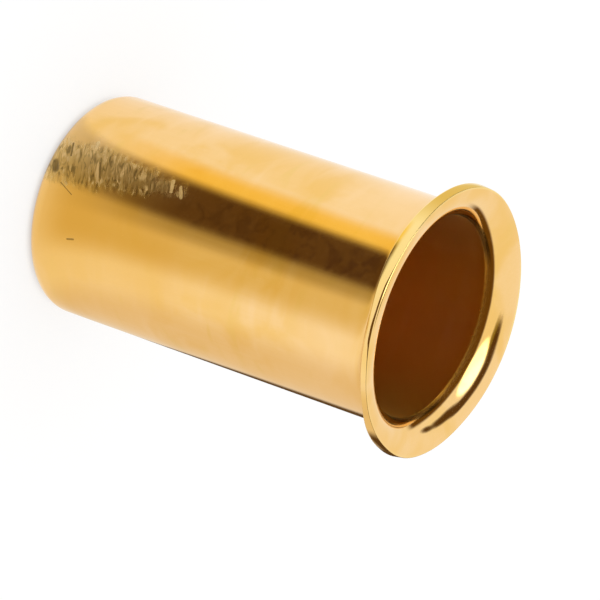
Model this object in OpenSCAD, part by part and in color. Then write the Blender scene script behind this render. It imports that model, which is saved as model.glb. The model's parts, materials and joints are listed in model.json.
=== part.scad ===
// Tube insert: a thin brass sleeve that is pushed into the end of a plastic tube, so that the
// tube stays round under the grip of a compression fitting. It is formed from one sheet: a
// straight barrel, a nose that turns inwards and guides it into the tube, and a bell-mouthed
// flange that stops it at the tube's end.
// The insert stands on its nose. The origin is the centre of the nose face, and +Z runs along
// the axis towards the flange.

/* [Barrel] */
// Outside diameter of the barrel, which fits inside the tube
barrel_od = 9.4; // [5:0.1:20]
// Overall length, from the nose face to the top of the flange
length = 17.6; // [8:0.1:40]
// Thickness of the sheet, the same in the nose, the barrel and the flange
wall = 0.45; // [0.3:0.05:0.8]

/* [Flange] */
// Radius of the hollow fillet between the barrel and the back of the flange
fillet_r = 0.75; // [0.3:0.05:1.5]
// How far the flange runs out past the fillet, its rounded edge included
brim_w = 0.25; // [0.25:0.05:2]
// Radius of the two rounded corners of the flange's edge
edge_r = 0.2; // [0.05:0.05:0.2]

/* [Nose] */
// Outside radius of the nose's rounded corner
nose_r = 0.7; // [0.4:0.05:1.5]
// Width of the flat ring at the end of the nose
nose_face_w = 0.3; // [0.1:0.05:1]

/* [Hidden] */
$fn = 96;
// How far a cut runs past the face that it leaves through
cut_past = 0.1;
// Smallest inside corner in the nose
least_corner = 0.1;
barrel_r = barrel_od / 2;
bore_r = barrel_r - wall;
// The flange must be wider than the tube's bore and narrower than its outside
flange_r = barrel_r + fillet_r + brim_w;
// The flange's edge keeps a flat between its two corners, however thin the sheet is
rim_r = min(edge_r, 0.45 * wall);
// The bell turns about the same centre as the fillet, one sheet thickness further out
bell_r = fillet_r + wall;
nose_hole_r = barrel_r - nose_r - nose_face_w;
// The nose's inside corner follows its outside, one sheet thickness in
nose_inner_r = max(nose_r - wall, least_corner);

// A rectangle from the axis out to radius r, between two heights
module disc_section(r, low, high) {
    translate([0, low]) square([r, high - low]);
}

// A disc whose edge is hollowed out by a quarter of a circle, so that it flares upwards
module fillet_section(corner_r, radius, top) {
    difference() {
        disc_section(corner_r + radius, top - radius, top);
        translate([corner_r + radius, top - radius]) circle(radius);
    }
}

// The outside of the insert, as if it were solid
module outer_section() {
    // Nose, with its rounded corner
    disc_section(barrel_r - nose_r, 0, nose_r);
    translate([barrel_r - nose_r, nose_r]) circle(nose_r);
    // Barrel, and the fillet under the flange
    disc_section(barrel_r, nose_r, length - wall);
    fillet_section(barrel_r, fillet_r, length - wall);
    // Flange, with the two rounded corners of its edge
    disc_section(flange_r - rim_r, length - wall, length);
    disc_section(flange_r, length - wall + rim_r, length - rim_r);
    for (corner_z = [length - wall + rim_r, length - rim_r])
        translate([flange_r - rim_r, corner_z]) circle(rim_r);
}

// The passage through the insert, from the hole in the nose to the bell
module passage_section() {
    // Hole in the nose
    disc_section(nose_hole_r, -cut_past, wall + nose_inner_r);
    // Bore, with the nose's inside corner
    disc_section(bore_r - nose_inner_r, wall, wall + nose_inner_r);
    translate([bore_r - nose_inner_r, wall + nose_inner_r]) circle(nose_inner_r);
    disc_section(bore_r, wall + nose_inner_r, length + cut_past);
    // Bell
    fillet_section(bore_r, bell_r, length);
}

module tube_insert() {
    color("#e0b060")
    rotate_extrude()
    difference() {
        outer_section();
        passage_section();
    }
}

tube_insert();
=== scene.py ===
"""Looks of the tube insert: a drawn brass sleeve with a bell-mouthed flange, standing on its nose."""

import json
import math
from types import SimpleNamespace

import bmesh
import bpy
import numpy as np
from mathutils import Matrix, Vector, noise


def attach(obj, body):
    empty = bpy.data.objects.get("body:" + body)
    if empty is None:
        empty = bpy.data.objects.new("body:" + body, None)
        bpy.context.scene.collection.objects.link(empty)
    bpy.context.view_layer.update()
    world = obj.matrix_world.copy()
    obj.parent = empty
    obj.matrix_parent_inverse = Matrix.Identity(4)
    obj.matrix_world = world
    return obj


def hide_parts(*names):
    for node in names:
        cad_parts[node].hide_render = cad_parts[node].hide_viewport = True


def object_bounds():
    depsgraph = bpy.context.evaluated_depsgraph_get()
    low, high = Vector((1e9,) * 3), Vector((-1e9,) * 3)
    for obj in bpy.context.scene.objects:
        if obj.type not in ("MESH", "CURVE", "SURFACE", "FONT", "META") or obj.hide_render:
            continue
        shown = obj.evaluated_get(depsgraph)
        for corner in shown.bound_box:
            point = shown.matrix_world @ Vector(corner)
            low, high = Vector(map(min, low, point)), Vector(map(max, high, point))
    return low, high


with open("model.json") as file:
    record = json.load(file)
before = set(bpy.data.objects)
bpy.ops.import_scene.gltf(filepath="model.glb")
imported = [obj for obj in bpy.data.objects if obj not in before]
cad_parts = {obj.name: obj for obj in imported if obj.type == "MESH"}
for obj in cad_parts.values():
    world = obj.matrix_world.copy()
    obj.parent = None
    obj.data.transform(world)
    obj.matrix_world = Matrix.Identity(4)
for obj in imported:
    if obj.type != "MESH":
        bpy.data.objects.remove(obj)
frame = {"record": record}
cad_low, cad_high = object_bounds()

MM = 0.001

# ---- Sizes, from the frame where it gives them ----
MOUNTS = {m["name"]: m for m in frame["record"]["mounts"]}
BARREL_R = MOUNTS["barrel"]["dims"]["r_mm"] * MM
BORE_R = MOUNTS["bore"]["dims"]["r_mm"] * MM
NOSE_HOLE_R = MOUNTS["nose_hole"]["dims"]["r_mm"] * MM
WALL = BARREL_R - BORE_R
LENGTH = cad_high.z - cad_low.z
FLANGE_R = (cad_high.x - cad_low.x) / 2
NOSE_R = 0.7 * MM
NOSE_INNER_R = NOSE_R - WALL
NOSE_EDGE = 0.04 * MM
FILLET_R = 0.75 * MM

# The rim: its top edge as made and as worn, its bottom edge, and the lean of its face in degrees
LIP_R = 0.035 * MM
LIP_WORN_R = 0.13 * MM
FOOT_R = 0.06 * MM
EDGE_TILT = 7

# The bell: it starts this far inside the rim, and turns through this angle in degrees down to the throat
RIM_FLAT = 0.22 * MM
THROAT_ANGLE = 70
BELL_CENTRE = FLANGE_R - RIM_FLAT
BELL_R = (BELL_CENTRE - BORE_R) / math.sin(math.radians(THROAT_ANGLE))

# The mesh is finer over the scuffed patch: up to this height, and between these azimuths, where its
# rings of points are FINE_STEP degrees apart. The rest of the way round has COARSE_RINGS rings
FINE_TOP = 7.2 * MM
FINE_AZIMUTHS = (-8, 40)
FINE_STEP = 0.6
COARSE_RINGS = 250

# A point of the outline this near to the bore's radius is on the bore
TINY = 0.001 * MM


def polar(azimuth, radius=1.0, z=0.0):
    """A point at an azimuth in degrees, counted from the front (-Y) towards -X."""
    a = math.radians(azimuth)
    return Vector((-radius * math.sin(a), -radius * math.cos(a), z))


# ---- Outline of the formed sheet ----
def arc(centre, radius, start, end, steps):
    """Points on a circle round centre, as (r, z), from one angle to another in degrees."""
    angles = np.radians(np.linspace(start, end, steps + 1))
    return [(centre[0] + radius * math.cos(a), centre[1] + radius * math.sin(a)) for a in angles]


def line(start, end, steps):
    """Points between start and end, without the two ends."""
    return [
        (start[0] + (end[0] - start[0]) * i / steps, start[1] + (end[1] - start[1]) * i / steps)
        for i in range(1, steps)
    ]


def sheet_outline(lip_r=LIP_R, lift=0.0):
    """The closed outline as (r, z), up the outside and down the bore.

    lip_r rounds the rim's top edge, and lift thins the rim from below.
    """
    nose = (BARREL_R - NOSE_R, NOSE_R)
    fillet = (BARREL_R + FILLET_R, LENGTH - WALL - FILLET_R)
    bell = (BELL_CENTRE, LENGTH - BELL_R)
    throat = 90 + THROAT_ANGLE
    points = arc(nose, NOSE_R, -90, 0, steps=14)
    points += line((BARREL_R, NOSE_R), (BARREL_R, FINE_TOP), steps=100)
    points += line((BARREL_R, FINE_TOP), (BARREL_R, fillet[1]), steps=30)
    points += arc(fillet, FILLET_R, 180, 90, steps=16)
    foot = (FLANGE_R - FOOT_R, LENGTH - WALL + FOOT_R + lift)
    points += arc(foot, FOOT_R, -90, EDGE_TILT, steps=6)
    taper = (WALL - lift) * math.tan(math.radians(EDGE_TILT))
    points += arc((FLANGE_R - taper - lip_r, LENGTH - lip_r), lip_r, EDGE_TILT, 90, steps=9)
    points += arc(bell, BELL_R, 90, throat, steps=30)
    throat_z = bell[1] + BELL_R * math.sin(math.radians(throat))
    points += line((BORE_R, throat_z), (BORE_R, WALL + NOSE_INNER_R), steps=24)
    points += arc((BORE_R - NOSE_INNER_R, WALL + NOSE_INNER_R), NOSE_INNER_R, 0, -90, steps=6)
    points += arc((NOSE_HOLE_R + NOSE_EDGE, WALL - NOSE_EDGE), NOSE_EDGE, 90, 180, steps=3)
    points += arc((NOSE_HOLE_R + NOSE_EDGE, NOSE_EDGE), NOSE_EDGE, 180, 270, steps=3)
    return np.array(points)


# ---- Irregularities of the real piece ----
# The scuffed patch: its middle, half its width and height, how it drifts sideways and narrows upwards
SCUFF_AZIMUTH = 16.0
SCUFF_Z = 2.4 * MM
SCUFF_HALF = (1.0 * MM, 4.6 * MM)
SCUFF_DRIFT = 0.05
SCUFF_TAPER = 0.4
SCUFF_ACROSS = polar(SCUFF_AZIMUTH - 90)

# Its torn strokes: their slope, length and width, and their height in millimetres, which they reach
# where the patch's weight times the gain is 1
UP = Vector((0, 0, 1))
STROKE_TILT = math.radians(22)
STROKE_ALONG = SCUFF_ACROSS * math.cos(STROKE_TILT) + UP * math.sin(STROKE_TILT)
STROKE_OVER = UP * math.cos(STROKE_TILT) - SCUFF_ACROSS * math.sin(STROKE_TILT)
STROKE_SIZE = (0.55 * MM, 0.16 * MM)
STROKE_HEIGHT = 0.011
STROKE_GAIN = 3

# Faint waves on the barrel and the flange: their length, and their height in millimetres. The nose, and
# points deeper than the skin under the barrel's face, have no waves and no strokes
WAVE_SIZE = 2.2 * MM
WAVE_HEIGHT = 0.0022
SKIN = 0.02 * MM

# Bumps round the rim: middle and half width in degrees, then the height. A bump whose height is over 1
# is cut off at 1. The other heights, and THIN_RIM_LIFT, are in millimetres
WORN_LIP = (-6, 26, 1.8)
THIN_RIM = (-30, 48, 1.5)
THIN_RIM_LIFT = 0.16
THICK_RIM = (28, 34, 0.08)
RIM_OUT = (
    (180, 45, 0.10),
    (120, 30, -0.05),
    (-95, 22, 0.06),
    (-135, 25, -0.03),
)
RIM_UP = (180, 60, 0.05)


def bump_near(azimuth, centre, half_width, height):
    """A smooth bump of that height at centre, fading to 0 at half_width degrees from it."""
    off = (azimuth - centre + 180) % 360 - 180
    return height * math.cos(min(abs(off) / half_width, 1) * math.pi / 2) ** 2


def lip_radius(azimuth):
    """The top edge of the rim: crisp, but for a worn stretch at the front."""
    return LIP_R + (LIP_WORN_R - LIP_R) * min(1, bump_near(azimuth, *WORN_LIP))


def rim_lift(azimuth):
    """How much thinner the rim's edge is than the sheet, in metres: thinner along the lower front."""
    thinner = THIN_RIM_LIFT * min(1, bump_near(azimuth, *THIN_RIM))
    return (thinner - bump_near(azimuth, *THICK_RIM)) * MM


def rim_offset(azimuth):
    """How far the flange strays from a true circle, outwards and upwards, in metres."""
    out = sum(bump_near(azimuth, *bump) for bump in RIM_OUT)
    return out * MM, bump_near(azimuth, *RIM_UP) * MM


def scuff_weight(point):
    """1 in the middle of the scuffed patch, 0 outside it."""
    if point.y >= 0:
        return 0.0
    above = point.z - SCUFF_Z
    along = above / SCUFF_HALF[1]
    half_width = SCUFF_HALF[0] * (1 - SCUFF_TAPER * along)
    across = (point.dot(SCUFF_ACROSS) + SCUFF_DRIFT * above) / half_width
    return max(0.0, 1 - (across * across + along * along))


def dent(point):
    """Height of the surface above the true shape, in metres: the faint waves and the torn strokes."""
    if math.hypot(point.x, point.y) < BARREL_R - SKIN or point.z < NOSE_R:
        return 0.0
    height = WAVE_HEIGHT * noise.noise(point / WAVE_SIZE)
    weight = scuff_weight(point)
    if weight > 0:
        length, width = STROKE_SIZE
        stroke = Vector((point.dot(STROKE_ALONG) / length, point.dot(STROKE_OVER) / width, 0))
        height += STROKE_HEIGHT * min(1, STROKE_GAIN * weight) * noise.noise(stroke)
    return height * MM


# ---- Mesh ----
def angles_round():
    """Azimuths of the mesh's rings of vertices in radians, close together over the scuffed patch."""
    start, end = FINE_AZIMUTHS
    fine = np.arange(start, end, FINE_STEP)
    coarse = np.linspace(end, start + 360, COARSE_RINGS + 1)[:-1]
    return np.radians(np.concatenate([fine, coarse]))


def ring_of_points(azimuth):
    """The outline turned to one azimuth, in radians, with the flange strayed from its true circle."""
    degrees = math.degrees(azimuth)
    outline = sheet_outline(lip_radius(degrees), rim_lift(degrees))
    out, up = rim_offset(degrees)
    share = np.clip((outline[:, 0] - BARREL_R) / (FLANGE_R - BARREL_R), 0, 1)
    share = np.where(outline[:, 1] > LENGTH / 2, share, 0)
    r = outline[:, 0] + share * out
    z = outline[:, 1] + share * up
    return np.stack([-r * math.sin(azimuth), -r * math.cos(azimuth), z], axis=-1)


def sharpen_throat(mesh, count):
    """Mark the corner between the bell and the bore as sharp. Each ring of the mesh has count points."""
    outline = sheet_outline()
    in_throat = (outline[:, 0] < BORE_R + TINY) & (outline[:, 1] > LENGTH / 2)
    throat = int(np.argmax(in_throat))
    for edge in mesh.edges:
        edge.use_edge_sharp = all(v % count == throat for v in edge.vertices)


def lathe(name, azimuths):
    """The closed solid, with its outline turned round the axis and its surface slightly worn."""
    co = np.array([ring_of_points(azimuth) for azimuth in azimuths])
    rings, count = co.shape[:2]
    ring, point = np.meshgrid(np.arange(rings), np.arange(count), indexing="ij")
    next_point = (point + 1) % count
    here, beyond = ring * count, (ring + 1) % rings * count
    corners = np.stack([here + point, here + next_point, beyond + next_point, beyond + point], axis=-1)
    flat = co.reshape(-1, 3)
    mesh = bpy.data.meshes.new(name)
    mesh.from_pydata(flat.tolist(), [], corners.reshape(-1, 4).tolist())
    normals = np.zeros(flat.size)
    mesh.vertices.foreach_get("normal", normals)
    heights = np.array([dent(Vector(p)) for p in flat])
    mesh.vertices.foreach_set("co", (flat + normals.reshape(-1, 3) * heights[:, None]).ravel())
    mesh.shade_smooth()
    sharpen_throat(mesh, count)
    obj = bpy.data.objects.new(name, mesh)
    bpy.context.scene.collection.objects.link(obj)
    return obj


insert = lathe("tube_insert_brass", angles_round())


# ---- Shader nodes ----
class Graph:
    """Short calls for the nodes of one tree.

    An input that is a socket is linked, and any other value is set.
    """

    def __init__(self, tree):
        self.tree = tree

    def node(self, kind, settings=None, **inputs):
        made = self.tree.nodes.new("ShaderNode" + kind)
        for name, value in (settings or {}).items():
            setattr(made, name, value)
        for name, value in inputs.items():
            self.feed(made.inputs[name.replace("_", " ")], value)
        return made

    def feed(self, socket, value):
        if isinstance(value, bpy.types.NodeSocket):
            self.tree.links.new(value, socket)
        else:
            socket.default_value = value

    def math(self, operation, *values):
        made = self.node("Math", {"operation": operation})
        for socket, value in zip(made.inputs, values):
            self.feed(socket, value)
        return made.outputs[0]

    def vector(self, operation, *values):
        made = self.node("VectorMath", {"operation": operation})
        for socket, value in zip(made.inputs, values):
            self.feed(socket, value)
        return made.outputs["Value" if operation in ("DOT_PRODUCT", "LENGTH", "DISTANCE") else "Vector"]

    def ramp(self, value, from_min, from_max, to_min=0.0, to_max=1.0):
        """A smooth step between two values."""
        made = self.node("MapRange", {"interpolation_type": "SMOOTHSTEP"})
        for socket, number in zip(made.inputs, (value, from_min, from_max, to_min, to_max)):
            self.feed(socket, number)
        return made.outputs[0]

    def mix(self, factor, first, second):
        """The second colour over the first. The node has its colours in inputs 6 and 7 and output 2."""
        made = self.node("Mix", {"data_type": "RGBA"})
        self.feed(made.inputs[0], factor)
        for index, colour in ((6, first), (7, second)):
            self.feed(made.inputs[index], (*colour, 1) if isinstance(colour, tuple) else colour)
        return made.outputs[2]

    def scaled(self, place, scale):
        """A vector times a number or a socket."""
        made = self.node("VectorMath", {"operation": "SCALE"}, Vector=place, Scale=scale)
        return made.outputs["Vector"]

    def flat(self, place):
        """A place without its height."""
        return self.vector("MULTIPLY", place, (1, 1, 0))

    def noise(self, place, scale, detail=2.0, distortion=0.0):
        made = self.node("TexNoise", Vector=place, Scale=scale, Detail=detail, Distortion=distortion)
        return made.outputs["Fac"]

    def segment(self, place, start, end):
        """Distance from a straight line between two points."""
        along = Vector(end) - Vector(start)
        from_start = self.vector("SUBTRACT", place, tuple(start))
        share = self.vector("DOT_PRODUCT", from_start, tuple(along))
        share = self.math("DIVIDE", share, along.length_squared)
        share = self.node("Clamp", Value=share).outputs[0]
        return self.vector("DISTANCE", from_start, self.scaled(tuple(along), share))


# ---- Brass ----
BRASS = (0.94, 0.62, 0.262)
BRASS_GOLD = (0.9, 0.555, 0.165)
BRASS_PEACH = (0.97, 0.67, 0.345)
BRASS_YELLOW = (0.86, 0.56, 0.15)
# The yellow of a painted warm reflection on the front of the barrel
BRASS_WARM_REFLECTION = (0.88, 0.53, 0.15)
BRASS_OLIVE = (0.5, 0.38, 0.13)
# Painted light on the bore's +X side, and painted shade deep in the bore
BRASS_BORE_LIGHT = (0.95, 0.68, 0.16)
BRASS_BORE_SHADE = (0.78, 0.34, 0.08)
# The colour of a painted highlight along the rim's edge
BRASS_EDGE_HIGHLIGHT = (0.99, 0.77, 0.29)
# Dark colour of the scuffs' strokes and the dark marks, and also of the painted shade in the throat
GRIME_AND_SHADE = (0.1, 0.065, 0.02)
# Colours of a painted dark reflection, mottled, in a strip along the front of the barrel
BAND_REFLECTION_BROWN = (0.5, 0.29, 0.13)
BAND_REFLECTION_PURPLE = (0.42, 0.2, 0.15)
FRESH = (0.98, 0.76, 0.4)

# The material works in millimetres
TOP = LENGTH / MM
BORE = BORE_R / MM
FLANGE = FLANGE_R / MM

# Heights between which a layer comes or goes
BARREL_END = (TOP - 1.6, TOP - 0.7)
FLARE_START = (TOP - 0.9, TOP - 0.8)
PEACH_RISE = (TOP - 6, TOP - 2.5)
PURPLE_RISE = (TOP - 8, TOP - 3)
BROWN_RISE = (4.0, 9.0)
BORE_SHADE_END = (TOP - 6.5, TOP - 2.0)

# Distances from the axis, and places across (x), between which a layer comes or goes
BORE_PAINT_END = (BORE + 0.01, BORE + 0.06)
BORE_ROUGH_END = (BORE + 0.01, BORE + 0.15)
THROAT_SHADE_END = (BORE + 0.09, BORE + 0.14)
EDGE_HIGHLIGHT_START = (FLANGE - 0.16, FLANGE - 0.06)
THROAT_SHADE_SIDES = (2.6, 3.5)
ROUGH_SIDES = (1.8, 4.1)
EDGE_HIGHLIGHT_ACROSS = (-2.0, 1.5)
BORE_LIGHT_ACROSS = (0.0, 3.8)

# Noises, in waves to a millimetre: the same in all directions, along x, y and z, or along the scuffs'
# strokes and across them
BLOTCH_SCALE = 0.33
CLUSTER_SCALE = 1.3
MOTTLE_SCALE = 1.4
RAGGED_SCALE = 2.3
SPECK_SCALE = 6.0
BAND_SCALES = (0.28, 0.28, 1.0)
DRAWN_SCALES = (9, 9, 0.35)
FINE_SCALES = (30, 30, 1.2)
STROKE_SCALES = (1.7, 6.0)
NOISE_MIDDLE = 0.5

# Levels of the noises between which a layer comes or goes
BLOTCH_LEVELS = (0.4, 0.64)
DRAWN_LEVELS = (0.35, 0.7)
BAND_PEACH_LEVELS = (0.5, 0.75)
BAND_YELLOW_LEVELS = (0.46, 0.28)
MOTTLE_LEVELS = (0.42, 0.66)
CLUSTER_LEVELS = (0.36, 0.56)
TORN_DARK_LEVELS = (0.32, 0.5)
TORN_PALE_LEVELS = (0.51, 0.61)

# How much of a layer's colour covers what is under it, at most
DRAWN_SHARE = 0.16
BAND_PEACH_SHARE = 0.4
BAND_YELLOW_SHARE = 0.5
PEACH_SHARE = 0.5
MOTTLE_SHARE = 0.5
OLIVE_SHARE = 0.4
DARK_SHARE = 0.6
THROAT_SHADE_SHARE = 0.85
BORE_SHADE_SHARE = 0.42
EDGE_HIGHLIGHT_SHARES = (0.7, 0.2)
BORE_LIGHT_SHARES = (0.1, 1.0)

# Roughness of the four finishes, and what specks, the bore's sides, pale and dark marks add to it
ROUGH_POLISHED = 0.07
ROUGH_DRAWN = 0.1
ROUGH_BORE = 0.31
ROUGH_SCUFFED = 0.32
ROUGH_SPECKS = 0.06
ROUGH_SIDES_MORE = 0.08
ROUGH_PALE = 0.4
ROUGH_DARK = 0.2

# Height of the relief, and the share in it of each layer
RELIEF = 0.0009 * MM
RELIEF_FINE = 0.25
RELIEF_DRAWN = 0.5
RELIEF_SPECKS = 0.35
RELIEF_TORN = 9.0
RELIEF_DARK = -3.0

# The yellow spots of painted warm reflection: full within this distance in millimetres, and how much
# noise shifts their edge
WARM_SPOT_CORE = 0.4
WARM_SPOT_UNEVEN = 0.5

# The scuffed patch: how much noise shifts its edge, and the squares of the distances from its middle,
# in half sizes, between which it fades
SCUFF_RAGGED = 1.6
SCUFF_EDGE = (0.3, 1.2)

# The strip of painted dark reflection, mottled brown: how far its middle lies from the scuffs', and
# where it fades, in millimetres
STRIP_MIDDLE = 0.25
STRIP_EDGE = (0.5, 0.9)

# The single marks fade between these multiples of half their width
MARK_EDGE = (0.8, 1.8)


def on_barrel(azimuth, z):
    """A point on the barrel, in millimetres."""
    return polar(azimuth, BARREL_R / MM, z)


# Azimuth and height of the middle of each yellow spot of painted warm reflection, its size and its
# strength
WARM_SPOTS = (
    ((-24, 6.2), 2.6, 0.8),
    ((-16, 2.2), 4.6, 1.0),
)

# Start and end of each mark as azimuth and height, then half its width
DARK_MARKS = (
    ((3.3, 1.2), (-0.7, 1.88), 0.014),
    ((-22.9, 2.15), (-22.0, 2.45), 0.03),
    ((12.5, 0.55), (9.0, 0.7), 0.12),
    ((24.5, 0.9), (18.0, 1.1), 0.03),
)
PALE_MARKS = (
    ((22.4, 6.05), (16.8, 6.2), 0.06),
    ((20.5, 6.5), (15.4, 6.75), 0.055),
    ((29.5, 1.9), (25.0, 2.0), 0.05),
)


def regions(graph):
    """Where a point of the surface lies, in millimetres, with masks and noises that layers share."""
    metres = graph.node("TexCoord").outputs["Object"]
    place = graph.scaled(metres, 1 / MM)
    parts = graph.node("SeparateXYZ", Vector=place)
    z = parts.outputs["Z"]
    at = SimpleNamespace(place=place, x=parts.outputs["X"], z=z)
    at.radius = graph.vector("LENGTH", graph.flat(place))
    at.front = graph.math("LESS_THAN", parts.outputs["Y"], 0.0)
    at.barrel = graph.ramp(z, *BARREL_END, 1.0, 0.0)
    at.flare = graph.ramp(z, *FLARE_START)
    at.blotch = graph.ramp(graph.noise(place, BLOTCH_SCALE, detail=3.0, distortion=0.6), *BLOTCH_LEVELS)
    at.drawn = graph.noise(graph.vector("MULTIPLY", place, DRAWN_SCALES), 1.0, detail=3.0)
    at.specks = graph.noise(place, SPECK_SCALE, detail=4.0)
    at.ragged = graph.math("SUBTRACT", graph.noise(place, RAGGED_SCALE, detail=3.0), NOISE_MIDDLE)
    return at


def tarnished(graph, at):
    """The brass's own colour: slow tarnish, drawn lines, and tones that change along the barrel."""
    bands = graph.noise(graph.vector("MULTIPLY", at.place, BAND_SCALES), 1.0, detail=3.0, distortion=0.4)
    colour = graph.mix(at.blotch, BRASS, BRASS_GOLD)
    colour = graph.mix(graph.ramp(at.drawn, *DRAWN_LEVELS, 0.0, DRAWN_SHARE), colour, BRASS_GOLD)
    peach_bands = graph.ramp(bands, *BAND_PEACH_LEVELS, 0.0, BAND_PEACH_SHARE)
    colour = graph.mix(peach_bands, colour, BRASS_PEACH)
    yellow_bands = graph.ramp(bands, *BAND_YELLOW_LEVELS, 0.0, BAND_YELLOW_SHARE)
    colour = graph.mix(yellow_bands, colour, BRASS_YELLOW)
    peach = graph.math("MULTIPLY", graph.ramp(at.z, *PEACH_RISE, 0.0, PEACH_SHARE), at.barrel)
    return graph.mix(peach, colour, BRASS_PEACH)


def warm_reflection_patches(graph, at, colour):
    """Painted warm reflection: soft yellow spots on the front of the barrel."""
    uneven = graph.math("MULTIPLY", graph.math("SUBTRACT", at.blotch, NOISE_MIDDLE), WARM_SPOT_UNEVEN)
    for (azimuth, z), size, strength in WARM_SPOTS:
        distance = graph.vector("DISTANCE", at.place, on_barrel(azimuth, z))
        distance = graph.math("ADD", distance, uneven)
        share = graph.ramp(distance, WARM_SPOT_CORE, size, strength, 0.0)
        colour = graph.mix(share, colour, BRASS_WARM_REFLECTION)
    return colour


def scuff_patch(graph, at):
    """1 in the scuffed patch, with a ragged edge. It is the patch of scuff_weight, in shader nodes."""
    above = graph.math("SUBTRACT", at.z, SCUFF_Z / MM)
    across = graph.vector("DOT_PRODUCT", at.place, tuple(SCUFF_ACROSS))
    across = graph.math("MULTIPLY_ADD", above, SCUFF_DRIFT, across)
    v = graph.math("DIVIDE", above, SCUFF_HALF[1] / MM)
    width = graph.math("MULTIPLY_ADD", v, -SCUFF_TAPER, 1.0)
    u = graph.math("DIVIDE", across, graph.math("MULTIPLY", width, SCUFF_HALF[0] / MM))
    inside = graph.math("ADD", graph.math("MULTIPLY", u, u), graph.math("MULTIPLY", v, v))
    inside = graph.math("MULTIPLY_ADD", at.ragged, SCUFF_RAGGED, inside)
    return graph.math("MULTIPLY", graph.ramp(inside, *SCUFF_EDGE, 1.0, 0.0), at.front)


def scuffs(graph, at):
    """The scuffed patch by the nose: its extent, its torn relief, and its dark and pale strokes."""
    patch = scuff_patch(graph, at)
    along, over = STROKE_SCALES
    stroke = graph.node(
        "CombineXYZ",
        X=graph.vector("DOT_PRODUCT", at.place, tuple(STROKE_ALONG * along)),
        Y=graph.vector("DOT_PRODUCT", at.place, tuple(STROKE_OVER * over)),
    ).outputs[0]
    torn = graph.noise(stroke, 1.0, detail=3.0, distortion=1.2)
    dark = graph.math("MULTIPLY", graph.ramp(torn, *TORN_DARK_LEVELS, 1.0, 0.0), patch)
    clusters = graph.ramp(graph.noise(at.place, CLUSTER_SCALE), *CLUSTER_LEVELS)
    pale = graph.ramp(torn, *TORN_PALE_LEVELS)
    pale = graph.math("MULTIPLY", pale, graph.math("MULTIPLY", patch, clusters))
    return SimpleNamespace(patch=patch, torn=torn, dark=dark, pale=pale)


def painted_reflection_band(graph, at, colour):
    """Painted dark reflection: mottled brown in a strip along the barrel, more purple towards the
    flange.
    """
    from_middle = graph.vector("DOT_PRODUCT", at.place, tuple(SCUFF_ACROSS))
    from_middle = graph.math("ABSOLUTE", graph.math("SUBTRACT", from_middle, STRIP_MIDDLE))
    strip = graph.math("MULTIPLY", graph.ramp(from_middle, *STRIP_EDGE, 1.0, 0.0), at.front)
    along = graph.math("MULTIPLY", graph.ramp(at.z, *BROWN_RISE), at.barrel)
    mottled = graph.noise(at.place, MOTTLE_SCALE, detail=4.0, distortion=0.5)
    mottled = graph.ramp(mottled, *MOTTLE_LEVELS, 0.0, MOTTLE_SHARE)
    tint = graph.mix(graph.ramp(at.z, *PURPLE_RISE), BAND_REFLECTION_BROWN, BAND_REFLECTION_PURPLE)
    return graph.mix(graph.math("MULTIPLY", mottled, graph.math("MULTIPLY", strip, along)), colour, tint)


def throat_painted_shade(graph, at, colour):
    """Painted shade where the bell meets the bore, at its two sides only."""
    sides = graph.ramp(graph.math("ABSOLUTE", at.x), *THROAT_SHADE_SIDES)
    throat = graph.math("MULTIPLY", graph.ramp(at.radius, *THROAT_SHADE_END, THROAT_SHADE_SHARE, 0.0), at.flare)
    return graph.mix(graph.math("MULTIPLY", throat, sides), colour, GRIME_AND_SHADE)


def rim_edge_highlight(graph, at, colour):
    """Painted highlight: brighter, yellower brass along the rim's edge, most of it on the -X side."""
    edge = graph.math("MULTIPLY", graph.ramp(at.radius, *EDGE_HIGHLIGHT_START), at.flare)
    share = graph.math("MULTIPLY", edge, graph.ramp(at.x, *EDGE_HIGHLIGHT_ACROSS, *EDGE_HIGHLIGHT_SHARES))
    return graph.mix(share, colour, BRASS_EDGE_HIGHLIGHT)


def bore_painted_light_and_shade(graph, at, colour):
    """Painted light and shade in the bore: a paler, yellower brass on the +X side, and a darker, redder
    one deep down.
    """
    bore = graph.ramp(at.radius, *BORE_PAINT_END, 1.0, 0.0)
    share = graph.math("MULTIPLY", bore, graph.ramp(at.x, *BORE_LIGHT_ACROSS, *BORE_LIGHT_SHARES))
    deep = graph.math("MULTIPLY", bore, graph.ramp(at.z, *BORE_SHADE_END, BORE_SHADE_SHARE, 0.0))
    return graph.mix(deep, graph.mix(share, colour, BRASS_BORE_LIGHT), BRASS_BORE_SHADE)


def marks_mask(graph, at, marks):
    """1 on a few single marks, 0 elsewhere."""
    total = None
    for (start_azimuth, start_z), (end_azimuth, end_z), half_width in marks:
        far = graph.segment(at.place, on_barrel(start_azimuth, start_z), on_barrel(end_azimuth, end_z))
        far = graph.math("MULTIPLY_ADD", at.ragged, half_width, far)
        near = graph.ramp(far, half_width * MARK_EDGE[0], half_width * MARK_EDGE[1], 1.0, 0.0)
        total = near if total is None else graph.math("MAXIMUM", total, near)
    return total


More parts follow.
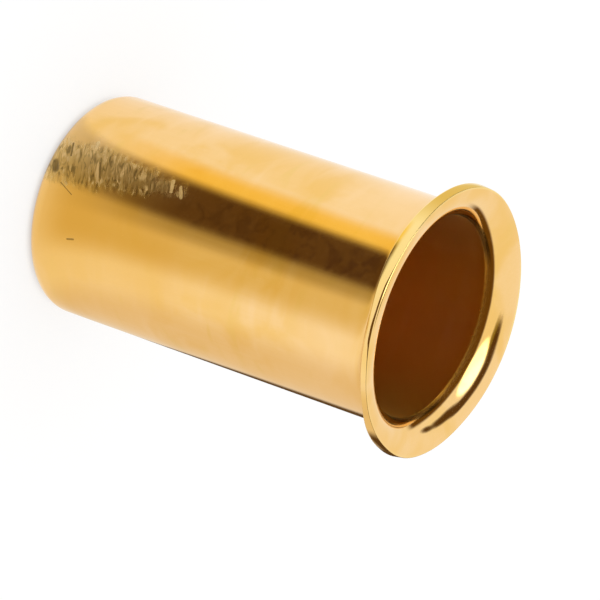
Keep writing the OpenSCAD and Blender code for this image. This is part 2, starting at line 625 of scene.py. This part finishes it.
def roughness(graph, at, scuff, dark, pale):
    """Polished flange, drawn barrel, duller bore, dullest at its sides, and rough scuffs and marks."""
    bore = graph.ramp(at.radius, *BORE_ROUGH_END, 1.0, 0.0)
    rough = graph.math("MULTIPLY_ADD", at.barrel, ROUGH_DRAWN - ROUGH_POLISHED, ROUGH_POLISHED)
    rough = graph.math("MULTIPLY_ADD", bore, ROUGH_BORE - ROUGH_DRAWN, rough)
    sides = graph.ramp(graph.math("ABSOLUTE", at.x), *ROUGH_SIDES)
    rough = graph.math("MULTIPLY_ADD", graph.math("MULTIPLY", bore, sides), ROUGH_SIDES_MORE, rough)
    specks = graph.math("SUBTRACT", at.specks, NOISE_MIDDLE)
    rough = graph.math("MULTIPLY_ADD", specks, ROUGH_SPECKS, rough)
    rough = graph.math("MULTIPLY_ADD", scuff.patch, ROUGH_SCUFFED - ROUGH_DRAWN, rough)
    rough = graph.math("MULTIPLY_ADD", graph.math("MAXIMUM", pale, scuff.pale), ROUGH_PALE, rough)
    return graph.math("MULTIPLY_ADD", dark, ROUGH_DARK, rough)


def relief(graph, at, scuff, dark):
    """Fine height: draw lines, grain, torn strokes and dark scratches."""
    fine = graph.noise(graph.vector("MULTIPLY", at.place, FINE_SCALES), 1.0)
    torn = graph.math("MULTIPLY", scuff.torn, scuff.patch)
    height = graph.math("MULTIPLY", fine, RELIEF_FINE)
    height = graph.math("MULTIPLY_ADD", at.drawn, RELIEF_DRAWN, height)
    height = graph.math("MULTIPLY_ADD", at.specks, RELIEF_SPECKS, height)
    height = graph.math("MULTIPLY_ADD", torn, RELIEF_TORN, height)
    return graph.math("MULTIPLY_ADD", dark, RELIEF_DARK, height)


def brass_material():
    """Bright drawn brass: polished flange, faint draw lines and tarnish, a dull bore and scuffs."""
    material = bpy.data.materials.new("brass")
    material.use_nodes = True
    graph = Graph(material.node_tree)
    bsdf = material.node_tree.nodes["Principled BSDF"]
    bsdf.inputs["Metallic"].default_value = 1
    at = regions(graph)
    scuff = scuffs(graph, at)
    dark = marks_mask(graph, at, DARK_MARKS)
    pale = marks_mask(graph, at, PALE_MARKS)

    # Painted warm reflection: yellow spots on the front of the barrel, near the nose
    colour = warm_reflection_patches(graph, at, tarnished(graph, at))
    colour = graph.mix(graph.math("MULTIPLY", scuff.patch, OLIVE_SHARE), colour, BRASS_OLIVE)
    colour = graph.mix(graph.math("MULTIPLY", scuff.dark, DARK_SHARE), colour, GRIME_AND_SHADE)
    colour = graph.mix(scuff.pale, colour, FRESH)
    # Painted dark reflection: a mottled brown strip along the barrel, where the dark band is mirrored
    colour = painted_reflection_band(graph, at, colour)
    # Painted highlight along the rim's edge
    colour = rim_edge_highlight(graph, at, colour)
    # Painted light and shade in the bore
    colour = bore_painted_light_and_shade(graph, at, colour)
    # Painted shade in the throat, at the mouth's two sides
    colour = throat_painted_shade(graph, at, colour)
    colour = graph.mix(graph.math("MULTIPLY", dark, DARK_SHARE), colour, GRIME_AND_SHADE)
    colour = graph.mix(pale, colour, FRESH)

    bump = graph.node("Bump", Strength=1.0, Distance=RELIEF, Height=relief(graph, at, scuff, dark))
    graph.feed(bsdf.inputs["Base Color"], colour)
    graph.feed(bsdf.inputs["Roughness"], roughness(graph, at, scuff, dark, pale))
    graph.feed(bsdf.inputs["Normal"], bump.outputs["Normal"])
    return material


insert.data.materials.append(brass_material())
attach(insert, "root")
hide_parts("tube_insert")

# ---- Camera ----
CAMERA_LENS = 300
CAMERA_SENSOR = 36
CAMERA_CLIP = (0.01, 10)
CAMERA_DISTANCE = 203.4 * MM
CAMERA_ELEVATION = 29.4
CAMERA_ROLL = 19.2
AIM = Vector((1.056, 0, 10.95)) * MM


def add_camera():
    """The camera in front (-Y) of the insert and above it, rolled as the photo is."""
    elevation, roll = math.radians(CAMERA_ELEVATION), math.radians(CAMERA_ROLL)
    toward = Vector((0, -math.cos(elevation), math.sin(elevation)))
    along = Vector((0, math.sin(elevation), math.cos(elevation)))
    across = Vector((1, 0, 0))
    right = math.cos(roll) * along - math.sin(roll) * across
    down = math.sin(roll) * along + math.cos(roll) * across
    camera = bpy.data.objects.new("camera", bpy.data.cameras.new("camera"))
    camera.data.lens = CAMERA_LENS
    camera.data.sensor_width = CAMERA_SENSOR
    camera.data.clip_start, camera.data.clip_end = CAMERA_CLIP
    bpy.context.scene.collection.objects.link(camera)
    axes = Matrix((right, -down, toward)).transposed()
    camera.matrix_world = Matrix.Translation(AIM + toward * CAMERA_DISTANCE) @ axes.to_4x4()
    bpy.context.scene.camera = camera


add_camera()

# ---- Stage ----
# The floor and the world are plain white, and the brass mirrors both. Studio cards and one lamp come
# between them and the brass. Only reflections see the cards and the lamp.
BROWN = (0.11, 0.06, 0.02)
ROOM = (0.14, 0.072, 0.013)
WHITE = (1.0, 1.0, 1.0)
UMBER = (0.45, 0.36, 0.15)
OLIVE = (0.3, 0.25, 0.06)
TAN = (0.8, 0.68, 0.36)
AMBER = (1.0, 0.77, 0.2)
CREAM = (0.85, 0.76, 0.62)
LAMP = (3.0, 3.0, 2.85)

DOME_R = 2.0
DOME_SEGMENTS = (48, 24)
FLOOR_SIZE = 0.6
CARD_HEIGHT = 0.02 * MM
CARD_EDGE = 16 * MM

# The floor glows this much right under the insert, where the dimmer glow is a painted shadow, and in the
# open, and scatters this share of light
FLOOR_GLOW = (0.2, 0.75)
FLOOR_DIFFUSE = (0.28, 0.28, 0.28)

# Cards on the floor: middle azimuth, half width and softness in degrees, then the distances from the
# axis in millimetres at which the card starts, is full and ends, and its colour. Later cards lie on top
FLOOR_CARDS = (
    (-115, 35, 20, 4, 6, 300, CREAM),
    (-8, 25, 14, 4, 8, 46, TAN),
    (49, 11, 9, 7, 16, 46, AMBER),
    (10, 14, 8, 4, 18, 46, UMBER),
    (25.5, 18.5, 6, 0, 17, 46, BROWN),
    (-164, 20, 5, 5, 7, 300, BROWN),
    (-160, 40, 7, 34, 42, 300, BROWN),
    (125, 40, 20, 34, 42, 300, TAN),
)

# Cards overhead and the lamp: azimuth, elevation, radius and softness in degrees, and colour. The first
# is the dark room behind the camera: low all round, and highest in front. The second keeps the place
# opposite the camera white. Later ones lie on top
OVERHEAD = (
    (-5, -72, 118, 3, ROOM),
    (170, 0, 30, 6, WHITE),
    (0, 90, 8, 5, OLIVE),
    (135, 32, 4, 4, BROWN),
    (127, 42, 7, 4, BROWN),
    (119, 49, 9, 4, BROWN),
    (127, 59, 10, 3, BROWN),
    (142, 70, 10, 4, BROWN),
    (168, 81, 8, 4, BROWN),
    (52, 61.5, 21, 3, LAMP),
)


def stage_object(name, build):
    """A mesh that is part of the stage, and the graph of its material. build fills its bmesh."""
    mesh = bpy.data.meshes.new(name)
    shape = bmesh.new()
    build(shape)
    shape.to_mesh(mesh)
    shape.free()
    obj = bpy.data.objects.new(name, mesh)
    bpy.context.scene.collection.objects.link(obj)
    material = bpy.data.materials.new(name)
    material.use_nodes = True
    material.node_tree.nodes.clear()
    material.cycles.emission_sampling = "NONE"
    mesh.materials.append(material)
    return obj, Graph(material.node_tree)


def flat_sheet(shape):
    """A level square as large as the floor."""
    bmesh.ops.create_grid(shape, x_segments=1, y_segments=1, size=FLOOR_SIZE)


def dome(shape):
    """A sphere round everything."""
    around, upward = DOME_SEGMENTS
    bmesh.ops.create_uvsphere(shape, u_segments=around, v_segments=upward, radius=DOME_R)


def from_axis(graph):
    """Where a point of the stage lies, seen from above: its place without its height."""
    return graph.flat(graph.node("NewGeometry").outputs["Position"])


def glow(graph, colour, strength=1.0):
    """Light of one colour."""
    return graph.node("Emission", Color=(*colour, 1), Strength=strength).outputs[0]


def lay_over(obj, graph, layers):
    """Give obj these layers, each a mask and a colour. Elsewhere it is clear."""
    shader = graph.node("BsdfTransparent").outputs[0]
    for mask, colour in layers:
        layer = graph.node("MixShader", Fac=mask)
        graph.feed(layer.inputs[1], shader)
        graph.feed(layer.inputs[2], glow(graph, colour))
        shader = layer.outputs[0]
    graph.feed(graph.node("OutputMaterial").inputs["Surface"], shader)
    for kind in ("camera", "diffuse", "transmission", "volume_scatter", "shadow"):
        setattr(obj, "visible_" + kind, False)


def cone(graph, look, centre, half_width, softness):
    """1 where look points within half_width degrees of centre, 0 outside it."""
    near = graph.vector("DOT_PRODUCT", look, tuple(centre))
    inner = math.radians(max(half_width - softness, 0))
    outer = math.radians(half_width + softness)
    return graph.ramp(near, math.cos(outer), math.cos(inner))


def hang_overhead():
    """The lamp and the cards above and around the insert."""
    overhead, graph = stage_object("overhead", dome)
    look = graph.vector("NORMALIZE", graph.node("NewGeometry").outputs["Position"])
    layers = []
    for azimuth, elevation, radius, softness, colour in OVERHEAD:
        rise = math.radians(elevation)
        centre = polar(azimuth, math.cos(rise), math.sin(rise))
        layers.append((cone(graph, look, centre, radius, softness), colour))
    lay_over(overhead, graph, layers)


def lay_cards():
    """The cards on the floor round the insert."""
    cards, graph = stage_object("cards", flat_sheet)
    for vertex in cards.data.vertices:
        vertex.co.z = CARD_HEIGHT
    flat = from_axis(graph)
    radius = graph.vector("LENGTH", flat)
    look = graph.vector("NORMALIZE", flat)
    layers = []
    for azimuth, half_width, softness, start, full, end, colour in FLOOR_CARDS:
        mask = cone(graph, look, polar(azimuth), half_width, softness)
        mask = graph.math("MULTIPLY", mask, graph.ramp(radius, start * MM, full * MM))
        mask = graph.math("MULTIPLY", mask, graph.ramp(radius, end * MM, end * MM + CARD_EDGE, 1.0, 0.0))
        layers.append((mask, colour))
    lay_over(cards, graph, layers)


def light_world():
    """Plain white all round."""
    world = bpy.data.worlds.new("studio")
    world.use_nodes = True
    background = world.node_tree.nodes["Background"]
    background.inputs["Color"].default_value = (*WHITE, 1)
    background.inputs["Strength"].default_value = 1
    bpy.context.scene.world = world


def lay_floor():
    """A white floor, which keeps the insert's shadow, and whose glow dims right under the insert as a
    painted shadow.
    """
    _, graph = stage_object("floor", flat_sheet)
    radius = graph.vector("LENGTH", from_axis(graph))
    # The glow dims right under the insert: a painted shadow
    strength = graph.ramp(radius, NOSE_HOLE_R, BARREL_R, *FLOOR_GLOW)
    plain = graph.node("AddShader")
    graph.feed(plain.inputs[0], graph.node("BsdfDiffuse", Color=(*FLOOR_DIFFUSE, 1)).outputs[0])
    graph.feed(plain.inputs[1], glow(graph, WHITE, strength))
    graph.feed(graph.node("OutputMaterial").inputs["Surface"], plain.outputs[0])


light_world()
hang_overhead()
lay_cards()
lay_floor()

bpy.context.scene.view_settings.view_transform = "Standard"
